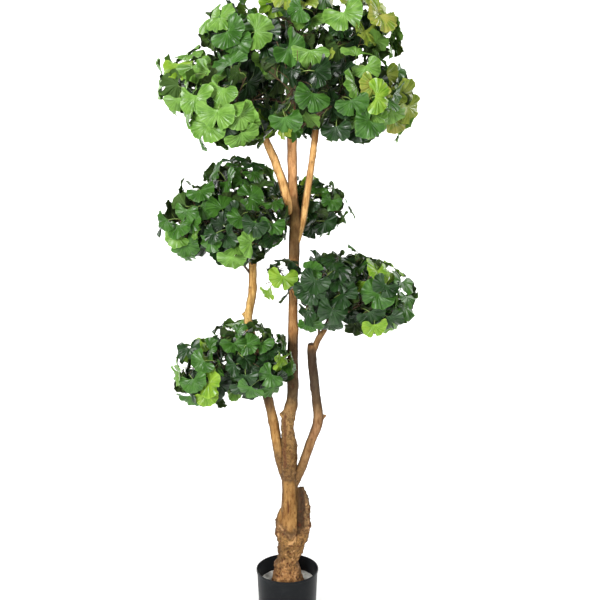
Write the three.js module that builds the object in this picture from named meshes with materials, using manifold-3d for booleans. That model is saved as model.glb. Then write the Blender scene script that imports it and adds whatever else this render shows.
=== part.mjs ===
// Ginkgo bonsai, an artificial tree: fan leaves on wired twigs, natural wood, and a pot full of cement.
// Millimetres, +Z up. The origin is the middle of the pot's underside, and the tree's front looks along -Y.
import * as THREE from "three";
import { mergeVertices } from "three/addons/utils/BufferGeometryUtils.js";
import Module from "manifold-3d";

const wasm = await Module();
wasm.setup();

// Driving dimensions
const GAP = 0.3; // clearance between neighbouring pieces
const POT = { height: 175, topRadius: 95, footRadius: 86, wall: 2.6, floor: 4, band: 8, lip: 1.8, sides: 32 };
const FILL_TOP = 127; // the cement's surface, which is the tree's ground level
const LEAF = { reach: 56, least: 0.86, spread: 0.24, middle: 0.42, thickness: 2.6, neck: 1.7 };
const PETIOLE = { length: 26, spread: 20, foot: 0.45 };
const STEM = { root: 6.5, tip: 5.5, arch: 0.08, forks: 0.7, sides: 4, rings: 3 };
const TWIG = { root: 3.4, tip: 2.8, reach: 0.54, bare: 0.5, top: 0.97, leaves: 3, sides: 3 };
const TRIES = 30; // places tried for each leaf, of which the roomiest is kept
const LIMB_CLEAR = 7; // least room between a leaf or twig and a limb's bark
const SPACE_CLEAR = 3.2; // least room between the middle of a leaf or twig and the next mass's space
const CROWDING = 0.56; // closest that two leaves' middles come, as a share of a leaf's reach
const DROOP = 0.7; // how far below level the lowest twigs point, as a sine
const GOLDEN = Math.PI * (3 - Math.sqrt(5));
const TURN_SHARE = 0.618; // each twig leaves the stem this share of its forking stretch past the one before

// Each limb's stations from its foot to its tip: x, y, z and radius.
const TRUNK = [
  [1, 0, 108, 54], // root flare, cut flat at the cement's surface
  [-1, 0, 176, 39],
  [2, 0, 214, 31], // ankle
  [8, 2, 290, 38], // belly of the rough stock
  [8, 0, 385, 26],
  [6, -2, 480, 24],
  [7, 0, 562, 23.2],
  [1, 2, 618, 19],
  [5, 2, 658, 20], // knee, with a sawn shoot
  [16, 0, 715, 17],
  [18, -5, 890, 15.5],
  [19, 2, 1015, 14],
  [23, 5, 1190, 17],
  [25, 3, 1245, 17], // fork of the two crown boughs
  [19, 0, 1325, 13.4],
  [16, -3, 1470, 14.5],
  [15, 0, 1610, 9], // tip, inside the crown
];
// A dead twin stem, sawn off beside the trunk.
const SPUR = [
  [20, -6, 212, 16],
  [37, -9, 262, 20],
  [50, -8, 312, 20],
  [51, -3, 388, 16.5],
  [42, 0, 436, 9],
];
// A broken swelling on the trunk's other side.
const BURL = [
  [-4, 0, 225, 18],
  [-17, -2, 290, 19],
  [-19, 0, 338, 14],
  [-17, 2, 366, 6],
];
const TRUNK_KNOT = [
  [6, 0, 645, 10],
  [-17, -3, 671, 8.5],
];
const BOUGH_LEFT = [
  [0, 2, 450, 14],
  [-20.5, 4, 515, 14.5],
  [-40, 10, 632, 15.5],
  [-61.5, 24, 722, 14],
  [-112, 56, 912, 13.5],
  [-116, 62, 955, 13], // bend, with a sawn shoot
  [-104, 72, 1030, 13],
  [-104, 84, 1175, 12],
];
const LEFT_KNOT = [
  [-112, 58, 935, 8],
  [-133, 58, 962, 6],
];
const BOUGH_RIGHT = [
  [14, 0, 430, 13],
  [39, -2, 486, 14.2],
  [76, -18, 597, 14.2],
  [92.5, -30, 654, 15.2], // elbow, with a broken spike
  [87, -38, 722, 13.8],
  [74, -56, 845, 13.8],
  [73, -64, 893, 12.5], // sawn top
];
const RIGHT_SPIKE = [
  [90, -30, 648, 9],
  [116, -31, 672, 4],
];
const RIGHT_SHOOT = [
  [75, -60, 862, 9.5],
  [92, -70, 908, 8.6],
  [112, -80, 940, 7],
];
const CROWN_LEFT = [
  [18, 1, 1262, 13],
  [0, -4, 1318, 13.5],
  [-32, -14, 1412, 12.4],
  [-70, -25, 1498, 10],
  [-92, -32, 1552, 7.5],
];
const CROWN_RIGHT = [
  [30, 3, 1180, 9],
  [48, 5, 1248, 10.2],
  [71.5, 14, 1400, 10.2],
  [88, 24, 1525, 8.6],
  [98, 30, 1585, 6.5],
];

// Masses of foliage, cloud by cloud: the limb that a mass's stem leaves and how far up it, the heart and the
// half-sizes of the oval space that the mass keeps to, and its number of twigs.
const MASSES = [
  ["crown_left_low", "bough_crown_left", 0.78, [-252, -10, 1632], [140, 138, 110], 7],
  ["crown_left_up", "bough_crown_left", 1, [-110, -30, 1732], [160, 146, 134], 7],
  ["crown_top", "trunk", 1, [40, 20, 1790], [162, 156, 134], 8],
  ["crown_front_left", "bough_crown_left", 0.89, [-140, -160, 1563], [146, 140, 140], 7],
  ["crown_front", "trunk", 0.965, [20, -210, 1595], [146, 130, 142], 7],
  ["crown_front_right", "trunk", 0.945, [172, -150, 1574], [146, 140, 138], 7],
  ["crown_right_low", "bough_crown_right", 0.83, [250, 15, 1580], [142, 138, 134], 7],
  ["crown_right_up", "bough_crown_right", 1, [184, -5, 1754], [150, 144, 136], 7],
  ["crown_back_left", "trunk", 0.98, [-112, 180, 1600], [150, 142, 138], 7],
  ["crown_back_right", "bough_crown_right", 0.92, [128, 184, 1598], [150, 142, 138], 7],
  ["middle_left", "bough_left", 0.9, [-252, 20, 1250], [136, 130, 138], 7],
  ["middle_front", "bough_left", 0.93, [-126, -56, 1228], [138, 124, 130], 7],
  ["middle_top", "bough_left", 1, [-140, 75, 1318], [146, 136, 124], 7],
  ["middle_right", "bough_left", 0.98, [84, 150, 1272], [132, 118, 98], 6],
  ["middle_back", "bough_left", 0.955, [-186, 176, 1236], [142, 124, 124], 6],
  ["middle_low", "trunk", 0.71, [-34, -95, 1104], [68, 68, 76], 4],
  ["right_near", "bough_right", 0.5, [94, -136, 1052], [126, 120, 126], 7],
  ["right_far", "bough_right", 1, [243, -86, 1030], [138, 130, 134], 8],
  ["right_back", "bough_right", 0.75, [172, 36, 1048], [140, 122, 126], 6],
  ["low_left", "bough_left", 0.5, [-214, -30, 806], [132, 124, 126], 7],
  ["low_right", "bough_left", 0.55, [-94, -62, 838], [128, 120, 126], 7],
  ["low_back", "bough_left", 0.6, [-150, 104, 824], [130, 116, 122], 6],
].map(([name, limb, up, heart, half, twigs]) => ({ name, limb, up, heart, half, twigs }));

// The foot of each cloud's dome, which its leaves face away from. A mass's name begins with its cloud's.
const CLOUDS = {
  crown: [0, 0, 1540],
  middle: [-140, 60, 1200],
  right: [170, -60, 1000],
  low: [-145, 0, 770],
};

const BARK = new THREE.MeshStandardMaterial({ color: 0xa87d4c, roughness: 0.8, metalness: 0 });
const PLASTIC = new THREE.MeshStandardMaterial({ color: 0x2b2d2e, roughness: 0.5, metalness: 0 });
const CEMENT = new THREE.MeshStandardMaterial({ color: 0xb9b7ae, roughness: 0.95, metalness: 0 });
const LEAVES = new THREE.MeshStandardMaterial({ color: 0x3f7d2c, roughness: 0.4, metalness: 0 });

// A small seeded generator, so that the tree grows the same way each time.
function dice(seed) {
  let state = seed >>> 0;
  return () => {
    state = (Math.imul(state, 1664525) + 1013904223) >>> 0;
    return state / 4294967296;
  };
}

// A closed geometry as a solid, and a solid as a geometry.
function toSolid(geometry) {
  const bare = geometry.clone();
  bare.deleteAttribute("normal");
  bare.deleteAttribute("uv");
  const merged = mergeVertices(bare, 1e-4);
  return new wasm.Manifold(
    new wasm.Mesh({
      numProp: 3,
      vertProperties: merged.attributes.position.array,
      triVerts: new Uint32Array(merged.index.array),
    }),
  );
}

function toGeometry(solid) {
  const { vertProperties, triVerts } = solid.getMesh();
  const geometry = new THREE.BufferGeometry();
  geometry.setAttribute("position", new THREE.BufferAttribute(vertProperties, 3));
  geometry.setIndex(new THREE.BufferAttribute(triVerts, 1));
  geometry.computeVertexNormals();
  return geometry;
}

function facetedSolid(points, triangles) {
  const geometry = new THREE.BufferGeometry().setFromPoints(points);
  geometry.setIndex(triangles.flat());
  return toSolid(geometry);
}

// The largest body of a solid, without the loose scraps that a cut may leave.
function mainBody(solid) {
  return solid.decompose().sort((a, b) => b.volume() - a.volume())[0];
}

// A tube skinned over rings that stand square to a curve, with flat ends. It can be grown all over by a little.
function skinnedTube({ curve, radius }, rings, sides, grow = 0) {
  const points = [];
  const triangles = [];
  const across = new THREE.Vector3(1, 0.1, 0);
  for (let i = 0; i <= rings; i++) {
    const t = i / rings;
    const ahead = curve.getTangent(t);
    const overrun = (i === rings ? grow : 0) - (i === 0 ? grow : 0);
    const centre = curve.getPoint(t).addScaledVector(ahead, overrun);
    across.addScaledVector(ahead, -across.dot(ahead)).normalize();
    const deep = ahead.clone().cross(across);
    const reach = radius(t) + grow;
    for (let k = 0; k < sides; k++) {
      const angle = (k / sides) * 2 * Math.PI;
      const corner = centre.clone().addScaledVector(across, reach * Math.cos(angle));
      points.push(corner.addScaledVector(deep, reach * Math.sin(angle)));
    }
  }
  for (let i = 0; i < rings; i++)
    for (let k = 0; k < sides; k++) {
      const a = i * sides + k;
      const b = i * sides + ((k + 1) % sides);
      triangles.push([a, b, b + sides], [a, b + sides, a + sides]);
    }
  const end = rings * sides;
  for (let k = 1; k < sides - 1; k++) triangles.push([0, k + 1, k], [end, end + k, end + k + 1]);
  return facetedSolid(points, triangles);
}

// A limb's curve and girth through its stations.
function limbLine(stations) {
  const through = (points) => new THREE.CatmullRomCurve3(points, false, "catmullrom", 0.5);
  const curve = through(stations.map(([x, y, z]) => new THREE.Vector3(x, y, z)));
  const girth = through(stations.map(([, , , radius]) => new THREE.Vector3(radius, 0, 0)));
  return { curve, radius: (t) => girth.getPoint(t).x };
}

function limbSolid(stations, sides, grow) {
  return skinnedTube(limbLine(stations), (stations.length - 1) * 2, sides, grow);
}

// Each limb's solid, optionally grown all over to cut a seat in its neighbour, and the line that stems leave.
const LIMBS = {
  trunk: {
    line: limbLine(TRUNK),
    solid: (grow = 0) =>
      wasm.Manifold.union([
        limbSolid(TRUNK, 11, grow),
        limbSolid(SPUR, 8, grow),
        limbSolid(BURL, 8, grow),
        limbSolid(TRUNK_KNOT, 6, grow),
      ]).trimByPlane([0, 0, 1], FILL_TOP),
  },
  bough_left: {
    line: limbLine(BOUGH_LEFT),
    solid: (grow = 0) => limbSolid(BOUGH_LEFT, 9, grow).add(limbSolid(LEFT_KNOT, 6, grow)),
  },
  bough_right: {
    line: limbLine(RIGHT_SHOOT),
    solid: (grow = 0) =>
      wasm.Manifold.union([
        limbSolid(BOUGH_RIGHT, 9, grow),
        limbSolid(RIGHT_SPIKE, 5, grow),
        limbSolid(RIGHT_SHOOT, 6, grow),
      ]),
  },
  bough_crown_left: { line: limbLine(CROWN_LEFT), solid: (grow = 0) => limbSolid(CROWN_LEFT, 8, grow) },
  bough_crown_right: { line: limbLine(CROWN_RIGHT), solid: (grow = 0) => limbSolid(CROWN_RIGHT, 8, grow) },
};

// A mass's stem runs in a low arch from inside its limb to the mass's heart.
function stemLine({ limb, up, heart }) {
  const from = LIMBS[limb].line.curve.getPoint(up);
  const to = new THREE.Vector3(...heart);
  const bow = from.clone().lerp(to, 0.5);
  bow.z += from.distanceTo(to) * STEM.arch;
  const curve = new THREE.QuadraticBezierCurve3(from, bow, to);
  return { curve, radius: (t) => STEM.root + (STEM.tip - STEM.root) * t };
}

// Balls strung along a line stand for it where twigs and leaves keep clear.
function ballsAlong({ curve, radius }, steps) {
  const balls = [];
  for (let i = 0; i <= steps; i++) {
    const t = i / steps;
    balls.push({ centre: curve.getPoint(t), radius: radius(t) });
  }
  return balls;
}

const STEMS = MASSES.map(stemLine);
const STEM_BALLS = STEMS.map((stem) => ballsAlong(stem, 24));
const LIMB_BALLS = [TRUNK, SPUR, BOUGH_LEFT, BOUGH_RIGHT, RIGHT_SHOOT, CROWN_LEFT, CROWN_RIGHT]
  .map((stations) => ballsAlong(limbLine(stations), stations.length * 7))
  .flat();

function touches(balls, point) {
  return balls.some((ball) => ball.centre.distanceTo(point) < ball.radius + LIMB_CLEAR);
}

// Whether a point lies in the space that a mass keeps to: inside its oval, on its own side of the plane
// halfway to each other heart, and clear of every limb and of the other masses' stems.
function inSpace(index, point) {
  const own = new THREE.Vector3(...MASSES[index].heart);
  const half = new THREE.Vector3(...MASSES[index].half);
  const out = point.clone().sub(own);
  if (out.clone().divide(half).length() > 1) return false;
  for (let other = 0; other < MASSES.length; other++) {
    if (other === index) continue;
    const away = new THREE.Vector3(...MASSES[other].heart).sub(own);
    if (out.dot(away) / away.length() > away.length() / 2 - SPACE_CLEAR) return false;
    if (touches(STEM_BALLS[other], point)) return false;
  }
  return !touches(LIMB_BALLS, point);
}

// A fan leaf's margin, from one wing round to the other: the angle from the blade's axis in degrees, and the
// reach and the lift as shares of the leaf's reach. The low corner in the middle is the cleft.
const LEAF_MARGIN = [
  { angle: 108, reach: 0.84, lift: 0.16 },
  { angle: 44, reach: 1, lift: -0.02 },
  { angle: 0, reach: 0.8, lift: -0.1 },
  { angle: -44, reach: 1, lift: -0.02 },
  { angle: -108, reach: 0.84, lift: 0.16 },
];

// A leaf's corners. Its place is the petiole's root on the twig, the junction where the blade begins, the
// blade's axis and face, and the leaf's size as a share of the full one.
function leafPoints({ root, junction, axis, face, size }) {
  const side = face.clone().cross(axis);
  const reach = LEAF.reach * size;
  const onBlade = (along, aside, lift) => {
    const corner = junction.clone().addScaledVector(axis, along);
    return corner.addScaledVector(side, aside).addScaledVector(face, lift);
  };
  const margin = LEAF_MARGIN.map((corner) => {
    const angle = THREE.MathUtils.degToRad(corner.angle);
    const out = corner.reach * reach;
    return onBlade(Math.cos(angle) * out, Math.sin(angle) * out, corner.lift * reach);
  });
  const stalk = junction.clone().sub(root).normalize();
  const stalkSide = side.clone().addScaledVector(stalk, -side.dot(stalk)).normalize();
  const stalkDown = stalkSide.clone().cross(stalk);
  if (stalkDown.dot(face) > 0) stalkDown.negate();
  const triad = (centre, share) => [
    centre.clone().addScaledVector(stalkSide, LEAF.neck * share),
    centre.clone().addScaledVector(stalkSide, -LEAF.neck * share),
    centre.clone().addScaledVector(stalkDown, LEAF.thickness * share),
  ];
  const middle = onBlade(reach * LEAF.middle, 0, 0);
  return { margin, middle, neck: triad(junction, 1), foot: triad(root, PETIOLE.foot) };
}

// The blade's upper side fans out from the cleft, and its under side from the neck, where the petiole joins.
function leafSolid(place) {
  const { margin, neck, foot } = leafPoints(place);
  const points = [...neck, ...foot, ...margin];
  const [neckLeft, neckRight, neckLow, footLeft, footRight, footLow] = [0, 1, 2, 3, 4, 5];
  const ring = [neckLeft, ...margin.map((_, i) => 6 + i), neckRight];
  const cleft = ring[3];
  const triangles = [
    [cleft, neckLeft, neckRight],
    [neckLeft, footLeft, footRight],
    [neckLeft, footRight, neckRight],
    [neckRight, footRight, footLow],
    [neckRight, footLow, neckLow],
    [neckLow, footLow, footLeft],
    [neckLow, footLeft, neckLeft],
    [footLeft, footLow, footRight],
  ];
  for (let i = 0; i < ring.length - 1; i++) {
    triangles.push([neckLow, ring[i], ring[i + 1]]);
    if (ring[i] !== cleft && ring[i + 1] !== cleft) triangles.push([cleft, ring[i + 1], ring[i]]);
  }
  return facetedSolid(points, triangles);
}

// A leaf's blade as flat pieces that meet at its junction, and its edges with its petiole.
function leafFlats(place) {
  const { margin } = leafPoints(place);
  return margin.slice(1).map((corner, i) => [place.junction, margin[i], corner]);
}

function leafEdges(place) {
  const { margin } = leafPoints(place);
  const round = [place.root, place.junction, ...margin, place.junction];
  return round.slice(1).map((corner, i) => [round[i], corner]);
}

// Whether any of some straight edges passes through any of some flat pieces.
const ray = new THREE.Ray();
const hit = new THREE.Vector3();
function pierce(edges, flats) {
  return edges.some(([from, to]) => {
    ray.set(from, to.clone().sub(from).normalize());
    const length = from.distanceTo(to);
    const reached = ([a, b, c]) => ray.intersectTriangle(a, b, c, false, hit) && hit.distanceTo(from) < length;
    return flats.some(reached);
  });
}

function leavesCross(a, b) {
  return pierce(leafEdges(a), leafFlats(b)) || pierce(leafEdges(b), leafFlats(a));
}

// A leaf fits where its petiole runs on into its blade and points all over it lie in the mass's space.
function leafFits(index, place) {
  const stalk = place.junction.clone().sub(place.root).normalize();
  if (stalk.dot(place.axis) < 0.3 || stalk.dot(place.face) < -0.3) return false;
  const { margin, middle } = leafPoints(place);
  const halfway = margin.map((corner) => corner.clone().lerp(middle, 0.5));
  const between = margin.slice(1).map((corner, i) => corner.clone().lerp(margin[i], 0.5));
  return [...margin, ...halfway, ...between, middle, place.junction].every((point) => inSpace(index, point));
}

// A try at a leaf: its petiole leaves the twig aside and outward, and its blade runs on, hangs, and faces away
// from its mass's heart and its cloud's foot.
function tryLeaf(twig, t, turn, outwardFrom, cloud, roll) {
  const swing = (range) => (roll() * 2 - 1) * range;
  const scatter = (range) => new THREE.Vector3(swing(range), swing(range), swing(range));
  const root = twig.getPoint(t);
  const along = twig.getTangent(t);
  const outward = outwardFrom(root);
  const aside = along.clone().cross(outward).normalize().applyAxisAngle(along, turn);
  const stalk = scatter(0.25).addScaledVector(along, 0.5).addScaledVector(aside, 0.7);
  stalk.addScaledVector(outward, 0.4).normalize();
  const axis = scatter(0.35).addScaledVector(aside, 0.9).addScaledVector(outward, 0.1);
  axis.z -= 0.2 + roll() * 0.5;
  axis.normalize();
  const away = root.clone().sub(cloud).normalize();
  const face = scatter(0.4).addScaledVector(outward, 0.45).addScaledVector(away, 0.7);
  face.z += 0.3;
  face.addScaledVector(axis, -face.dot(axis)).normalize();
  const junction = root.clone().addScaledVector(stalk, PETIOLE.length + roll() * PETIOLE.spread);
  return { root, junction, axis, face, size: LEAF.least + roll() * LEAF.spread };
}

// A mass's twigs fan out from the end of its stem by the golden angle, from the top down to the droop.
function growTwigs(index) {
  const mass = MASSES[index];
  const heart = new THREE.Vector3(...mass.heart);
  const half = new THREE.Vector3(...mass.half);
  const twigs = [];
  for (let k = 0; k < mass.twigs; k++) {
    const rise = 1 - ((1 + DROOP) * (k + 0.5)) / mass.twigs;
    const turn = k * GOLDEN + index;
    const level = Math.sqrt(1 - rise * rise);
    const aim = new THREE.Vector3(Math.cos(turn) * level, Math.sin(turn) * level, rise);
    const root = STEMS[index].curve.getPoint(STEM.forks + (1 - STEM.forks) * ((k * TURN_SHARE) % 1));
    const tip = heart.clone().addScaledVector(aim.multiply(half), TWIG.reach);
    const twig = new THREE.LineCurve3(root, tip);
    if ([0.1, 0.3, 0.5, 0.75, 1].every((t) => inSpace(index, twig.getPoint(t)))) twigs.push(twig);
  }
  return twigs;
}

// Leaves stand round the outer part of each twig, each in the roomiest of the places tried for it.
function growLeaves(index, twigs, roll) {
  const heart = new THREE.Vector3(...MASSES[index].heart);
  const half = new THREE.Vector3(...MASSES[index].half);
  const cloud = new THREE.Vector3(...CLOUDS[MASSES[index].name.split("_")[0]]);
  const outwardFrom = (point) => point.clone().sub(heart).divide(half).normalize();
  const wood = [...twigs, STEMS[index].curve].map((curve) => [curve.getPoint(0), curve.getPoint(1)]);
  const leaves = [];
  const roomRound = ({ middle }) =>
    Math.min(4 * LEAF.reach, ...leaves.map((leaf) => leafPoints(leaf).middle.distanceTo(middle)));
  for (const twig of twigs)
    for (let s = 0; s < TWIG.leaves; s++) {
      const t = TWIG.bare + ((TWIG.top - TWIG.bare) * s) / (TWIG.leaves - 1);
      let best = null;
      let bestRoom = LEAF.reach * CROWDING;
      for (let attempt = 0; attempt < TRIES; attempt++) {
        const place = tryLeaf(twig, t, (s + attempt) * GOLDEN, outwardFrom, cloud, roll);
        const room = roomRound(leafPoints(place));
        if (room <= bestRoom || !leafFits(index, place) || pierce(wood, leafFlats(place))) continue;
        if (leaves.some((leaf) => leavesCross(leaf, place))) continue;
        best = place;
        bestRoom = room;
      }
      if (best) leaves.push(best);
    }
  return leaves;
}

// A mass is its stem, twigs and leaves in one, with its foot cut clear of the limb that it leaves.
function massSolid(index) {
  const twigs = growTwigs(index);
  const leaves = growLeaves(index, twigs, dice(7919 * (index + 1)));
  const radius = (t) => TWIG.root + (TWIG.tip - TWIG.root) * t;
  const solids = [
    skinnedTube(STEMS[index], STEM.rings, STEM.sides),
    ...twigs.map((twig) => skinnedTube({ curve: twig, radius }, 1, TWIG.sides)),
    ...leaves.map(leafSolid),
  ];
  const limb = LIMBS[MASSES[index].limb].solid(GAP);
  return mainBody(wasm.Manifold.union(solids).subtract(limb)).simplify(0.05);
}

// Radius of the pot's outer wall at a height.
function potRadius(z) {
  return POT.footRadius + ((POT.topRadius - POT.lip - POT.footRadius) * z) / POT.height;
}

function turned(profile) {
  const outline = profile.map(([radius, z]) => new THREE.Vector2(radius, z));
  return new THREE.LatheGeometry(outline, POT.sides).rotateX(Math.PI / 2);
}

// The pot: a thin tapered wall, a flat floor, and a low band round the rim.
function potGeometry() {
  const { height, topRadius, wall, floor, band, lip } = POT;
  return turned([
    [0, 0],
    [potRadius(0), 0],
    [potRadius(height - band), height - band],
    [topRadius, height - band + lip],
    [topRadius, height - lip],
    [topRadius - lip, height],
    [topRadius - lip - wall, height],
    [potRadius(height - band) - wall, height - band],
    [potRadius(floor) - wall, floor],
    [0, floor],
  ]);
}

// The cement: a plug that fills the pot up to the tree's ground level.
function fillGeometry() {
  const inside = (z) => potRadius(z) - POT.wall - 2 * GAP;
  const foot = POT.floor + GAP;
  return turned([
    [0, foot],
    [inside(foot), foot],
    [inside(FILL_TOP), FILL_TOP],
    [0, FILL_TOP],
  ]);
}

const tree = new THREE.Group();
function addPiece(name, geometry, material) {
  const mesh = new THREE.Mesh(geometry, material);
  mesh.name = name;
  tree.add(mesh);
}

addPiece("pot", potGeometry(), PLASTIC);
addPiece("pot_fill", fillGeometry(), CEMENT);
for (const name of Object.keys(LIMBS)) {
  const limb = LIMBS[name].solid();
  const seated = name === "trunk" ? limb : limb.subtract(LIMBS.trunk.solid(GAP));
  addPiece(name, toGeometry(mainBody(seated)), BARK);
}
for (let index = 0; index < MASSES.length; index++)
  addPiece(`foliage_${MASSES[index].name}`, toGeometry(massSolid(index)), LEAVES);

export default tree;
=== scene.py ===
import math

import bpy
import numpy as np
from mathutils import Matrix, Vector, noise


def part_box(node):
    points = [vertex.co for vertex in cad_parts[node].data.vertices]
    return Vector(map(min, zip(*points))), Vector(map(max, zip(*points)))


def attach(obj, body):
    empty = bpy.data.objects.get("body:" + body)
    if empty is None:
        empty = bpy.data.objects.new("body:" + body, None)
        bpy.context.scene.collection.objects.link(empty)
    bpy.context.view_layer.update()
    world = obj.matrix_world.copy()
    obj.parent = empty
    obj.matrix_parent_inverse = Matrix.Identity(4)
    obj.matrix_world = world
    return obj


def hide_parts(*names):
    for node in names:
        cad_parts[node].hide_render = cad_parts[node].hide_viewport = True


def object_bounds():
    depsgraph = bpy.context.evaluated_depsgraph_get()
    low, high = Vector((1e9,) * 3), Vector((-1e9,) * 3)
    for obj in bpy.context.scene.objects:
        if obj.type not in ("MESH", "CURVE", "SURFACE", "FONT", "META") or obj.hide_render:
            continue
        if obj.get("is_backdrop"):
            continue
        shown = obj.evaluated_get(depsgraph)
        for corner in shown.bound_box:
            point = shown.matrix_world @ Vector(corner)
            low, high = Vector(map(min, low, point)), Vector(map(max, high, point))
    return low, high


# A ginkgo bonsai: an artificial tree with fan leaves on wired twigs, natural wood, and a pot full of cement.
# Metres, +Z up. The origin is the middle of the pot's underside, and the tree's front looks along -Y.
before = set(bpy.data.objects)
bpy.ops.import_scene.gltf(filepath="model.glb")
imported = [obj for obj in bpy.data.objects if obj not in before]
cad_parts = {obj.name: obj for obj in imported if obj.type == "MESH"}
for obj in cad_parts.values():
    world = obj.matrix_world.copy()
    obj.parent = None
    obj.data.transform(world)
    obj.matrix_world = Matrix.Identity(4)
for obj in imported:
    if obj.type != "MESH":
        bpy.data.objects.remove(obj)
solids_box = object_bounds()

# The pot. A plain tapered nursery pot, moulded in one piece from charcoal plastic about 2 mm thick, with a
# low band and a rounded edge round its rim and a raised foot ring under it. Handling has scuffed it and
# left dust.
POT_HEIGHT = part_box("pot")[1].z
POT_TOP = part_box("pot")[1].x
POT_FOOT = 0.086
POT_WALL = 0.0022
POT_BAND = 0.008
POT_LIP = 0.0018
POT_FLOOR = 0.004
POT_EDGE = 0.0010
FOOT_RING = 0.010
FOOT_RECESS = 0.0015
POT_SIDES = 144
OUT_OF_ROUND = 0.0004


def add_piece(name, points, faces, material):
    """A smooth-shaded mesh piece from an array of points and a list of faces."""
    mesh = bpy.data.meshes.new(name)
    mesh.from_pydata(np.asarray(points).tolist(), [], faces)
    mesh.materials.append(material)
    mesh.shade_smooth()
    piece = bpy.data.objects.new(name, mesh)
    bpy.context.scene.collection.objects.link(piece)
    return piece


def turned(profile, sides):
    """Points and faces of a (radius, height) profile turned round the Z axis and closed at its ends."""
    angles = np.arange(sides) * 2.0 * math.pi / sides
    points = []
    rings = []
    for radius, height in profile:
        first = len(points)
        if radius == 0.0:
            points.append((0.0, 0.0, height))
            rings.append([first] * sides)
        else:
            points.extend((radius * math.cos(a), radius * math.sin(a), height) for a in angles)
            rings.append(list(range(first, first + sides)))
    faces = []
    for lower, upper in zip(rings, rings[1:]):
        for k in range(sides):
            n = (k + 1) % sides
            faces.append(tuple(dict.fromkeys((lower[k], lower[n], upper[n], upper[k]))))
    return np.array(points), faces


def rounded(radius, height, bend, start, end, steps=4):
    """Points of an arc in a profile about (radius, height), from one angle in degrees to another."""
    angles = [math.radians(start + (end - start) * i / steps) for i in range(steps + 1)]
    return [(radius + bend * math.cos(a), height + bend * math.sin(a)) for a in angles]


def held_flat(profile, inset=0.0006):
    """A profile with points close to the ends of its longer runs, so that they shade flat between edges."""
    held = [profile[0]]
    for (r0, z0), (r1, z1) in zip(profile, profile[1:]):
        run = math.hypot(r1 - r0, z1 - z0)
        if run > 6.0 * inset:
            for share in (inset / run, 1.0 - inset / run):
                held.append((r0 + (r1 - r0) * share, z0 + (z1 - z0) * share))
        held.append((r1, z1))
    return held


def pot_radius(height):
    """Radius of the pot's outer wall at a height."""
    return POT_FOOT + (POT_TOP - POT_LIP - POT_FOOT) * height / POT_HEIGHT


def tone(red, green, blue):
    """A colour as a shader takes it, from its everyday values out of 255."""
    return tuple(((c / 255.0 + 0.055) / 1.055) ** 2.4 for c in (red, green, blue)) + (1.0,)


def place_node(kind, inputs, **settings):
    """A shader node with its settings, and with each input set to a value or joined to a socket. It goes
    into the tree of nodes that those sockets belong to."""
    tree = next(value.id_data for value in inputs.values() if isinstance(value, bpy.types.NodeSocket))
    node = tree.nodes.new("ShaderNode" + kind)
    for name, value in settings.items():
        setattr(node, name, value)
    for name, value in inputs.items():
        if isinstance(value, bpy.types.NodeSocket):
            tree.links.new(value, node.inputs[name])
        else:
            node.inputs[name].default_value = value
    return node


def sum_of(operation, first, second=0.0, third=0.0):
    """The result of a sum on numbers or sockets."""
    return place_node("Math", {0: first, 1: second, 2: third}, operation=operation).outputs[0]


def scaled(value, share):
    """A value times a share."""
    return sum_of("MULTIPLY", value, share)


def mixed(factor, first, second, blend="MIX"):
    """The colour between two colours."""
    node = place_node("Mix", {0: factor, 6: first, 7: second}, data_type="RGBA", blend_type=blend)
    return node.outputs[2]


def tinted(body, mask, share, colour):
    """A colour with another laid over it, at a share of a mask."""
    return mixed(scaled(mask, share), body, colour)


def faded(value, low, high, to_low=0.0, to_high=1.0):
    """A value taken smoothly from one range to another."""
    ends = {"Value": value, "From Min": low, "From Max": high, "To Min": to_low, "To Max": to_high}
    return place_node("MapRange", ends, interpolation_type="SMOOTHSTEP").outputs[0]


def stretched(coordinates, across, up):
    """Coordinates with one scale along X and Y and another along Z."""
    return place_node("Mapping", {"Vector": coordinates, "Scale": (across, across, up)}).outputs[0]


def cloudy(coordinates, scale, detail=3.0, roughness=0.55):
    """Soft noise, about 0 to 1."""
    inputs = {"Vector": coordinates, "Scale": scale, "Detail": detail, "Roughness": roughness}
    return place_node("TexNoise", inputs).outputs["Fac"]


def new_group(name, inputs, outputs):
    """An empty shader group. Each named input is a number with its usual value, or a vector if it has none,
    and each named output is a number."""
    group = bpy.data.node_groups.new(name, "ShaderNodeTree")
    for socket, value in inputs.items():
        kind = "NodeSocketVector" if value is None else "NodeSocketFloat"
        made = group.interface.new_socket(socket, in_out="INPUT", socket_type=kind)
        if value is not None:
            made.default_value = value
    for socket in outputs:
        group.interface.new_socket(socket, in_out="OUTPUT", socket_type="NodeSocketFloat")
    return group, group.nodes.new("NodeGroupInput").outputs, group.nodes.new("NodeGroupOutput").inputs


def use_group(group, inputs):
    """A shader group placed in a material with its own values."""
    return place_node("Group", inputs, node_tree=group).outputs


def new_material(name):
    """A material, its shader and the piece's own coordinates."""
    material = bpy.data.materials.new(name)
    material.use_nodes = True
    nodes = material.node_tree.nodes
    return material, nodes["Principled BSDF"], nodes.new("ShaderNodeTexCoord").outputs["Object"]


def painted(shader, colour, roughness, gloss=0.5):
    """Gives a shader a colour and a roughness that vary over the surface, and a strength of its gloss."""
    shader.id_data.links.new(colour, shader.inputs["Base Color"])
    shader.id_data.links.new(roughness, shader.inputs["Roughness"])
    shader.inputs["Specular IOR Level"].default_value = gloss


def bumped(shader, height, strength, distance):
    """Gives a shader the relief of a height."""
    inputs = {"Height": height, "Strength": strength, "Distance": distance}
    shader.id_data.links.new(place_node("Bump", inputs).outputs[0], shader.inputs["Normal"])


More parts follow.
